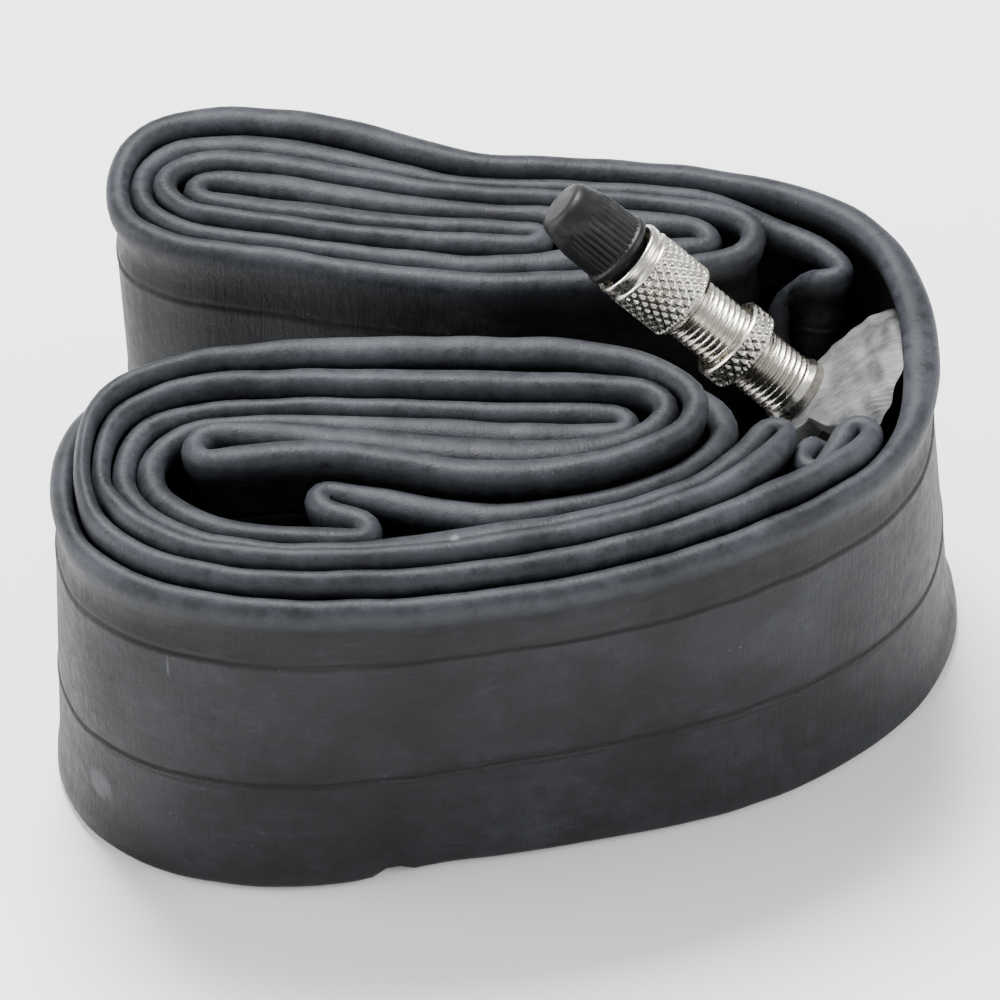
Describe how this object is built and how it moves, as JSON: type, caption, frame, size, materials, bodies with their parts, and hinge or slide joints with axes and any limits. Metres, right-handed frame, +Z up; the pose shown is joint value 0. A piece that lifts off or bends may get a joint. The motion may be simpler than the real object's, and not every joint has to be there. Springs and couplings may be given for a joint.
{
  "type": "inner tube",
  "caption": "Folded bicycle inner tube of flat butyl rubber, with a threaded metal valve, knurled nuts and a ribbed dust cap",
  "frame": {"origin": "on the surface that the folded tube stands on, under the middle of the loop's box", "axes": "+Z up along the width of the flat tube, +X along the length of the folded bundle towards the valve end, the valve leans up and towards -X"},
  "size_m": [0.1046, 0.0922, 0.0583],
  "materials": {
    "butyl_rubber": "matte, dusted with talc",
    "buffed_rubber": "buffed and scuffed",
    "nickel": "satin nickel plate over brass",
    "nickel_nut": "knurled nickel plate",
    "nickel_union": "knurled nickel plate",
    "brass": "turned",
    "brass_pin": "turned",
    "seal_rubber": "moulded",
    "black_plastic": "moulded, dusty"
  },
  "bodies": {
    "tube": {"butyl_tube": "butyl_rubber", "valve_patch": "buffed_rubber", "valve_stem": "nickel"},
    "nut": {"rim_nut": "nickel_nut"},
    "insert": {"valve_insert": "brass", "insert_seal": "seal_rubber"},
    "union": {"union_nut": "nickel_union"},
    "plunger": {"check_plunger": "brass_pin", "plunger_seal": "seal_rubber"},
    "cap": {"dust_cap": "black_plastic"}
  },
  "joints": [
    {"name": "rim_nut_travel", "type": "slide", "parent": "tube", "child": "nut", "axis": [-0.7502, 0.12, 0.6502], "range_m": [-0.0066, 0.0061]},
    {"name": "insert_lift", "type": "slide", "parent": "tube", "child": "insert", "axis": [-0.7502, 0.12, 0.6502], "range_m": [0, 0.0048]},
    {"name": "union_turn", "type": "hinge", "parent": "insert", "child": "union", "pos_m": [0.02018, 0.00894, 0.0445], "axis": [-0.7502, 0.12, 0.6502], "range_deg": [0, 2165]},
    {"name": "plunger_open", "type": "slide", "parent": "insert", "child": "plunger", "axis": [-0.7502, 0.12, 0.6502], "range_m": [-0.0008, 0]},
    {"name": "cap_off", "type": "slide", "parent": "insert", "child": "cap", "axis": [-0.7502, 0.12, 0.6502], "range_m": [0, 0.01]}
  ],
  "couplings": [
    {"joint": "union_turn", "follows": "insert_lift", "rad_per_m": 7854}
  ]
}
